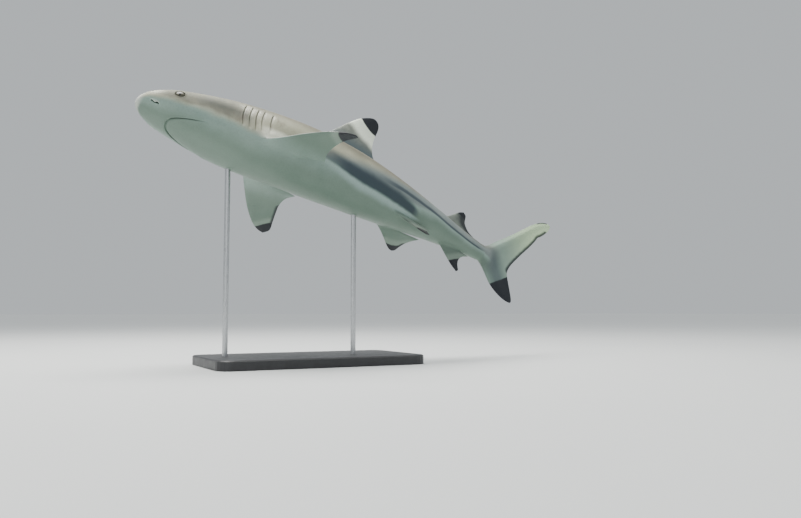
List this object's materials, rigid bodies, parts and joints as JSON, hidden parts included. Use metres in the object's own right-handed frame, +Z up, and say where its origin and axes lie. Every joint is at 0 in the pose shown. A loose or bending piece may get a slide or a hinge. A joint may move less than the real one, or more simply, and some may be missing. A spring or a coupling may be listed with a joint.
{
  "type": "blacktip reef shark display model",
  "caption": "Life-size blacktip reef shark, Carcharhinus melanopterus, held in a banked swimming turn on a plain display stand.",
  "frame": {"origin": "middle of the stand base's flat underside, on the floor", "axes": "+Z up; the snout points along -X and the tail along +X; the shark's left side faces -Y"},
  "size_m": [1.3889, 0.4653, 0.7087],
  "materials": {
    "head_skin": "satin, fine denticle grain",
    "jaw_skin": "satin, fine denticle grain",
    "trunk_skin": "satin, fine denticle grain",
    "tail_skin": "satin, fine denticle grain",
    "first_dorsal_fin": "satin, fine denticle grain",
    "second_dorsal_fin": "satin, fine denticle grain",
    "anal_fin": "satin, fine denticle grain",
    "pectoral_fin_left": "satin, fine denticle grain",
    "pectoral_fin_right": "satin, fine denticle grain",
    "pelvic_fin_left": "satin, fine denticle grain",
    "pelvic_fin_right": "satin, fine denticle grain",
    "caudal_fin_upper": "satin, fine denticle grain",
    "caudal_fin_lower": "satin, fine denticle grain",
    "eye": "wet gloss",
    "stand_base": "matt black stained wood",
    "stand_rod": "brushed"
  },
  "bodies": {
    "root": {"head": "head_skin", "lower_jaw": "jaw_skin", "trunk": "trunk_skin", "tail": "tail_skin", "first_dorsal_fin": "first_dorsal_fin", "second_dorsal_fin": "second_dorsal_fin", "pectoral_fin_left": "pectoral_fin_left", "pectoral_fin_right": "pectoral_fin_right", "pelvic_fin_left": "pelvic_fin_left", "pelvic_fin_right": "pelvic_fin_right", "anal_fin": "anal_fin", "caudal_fin_upper": "caudal_fin_upper", "caudal_fin_lower": "caudal_fin_lower", "eye_left": "eye", "eye_right": "eye", "stand_base": "stand_base", "stand_rod_front": "stand_rod", "stand_rod_rear": "stand_rod"}
  },
  "joints": []
}
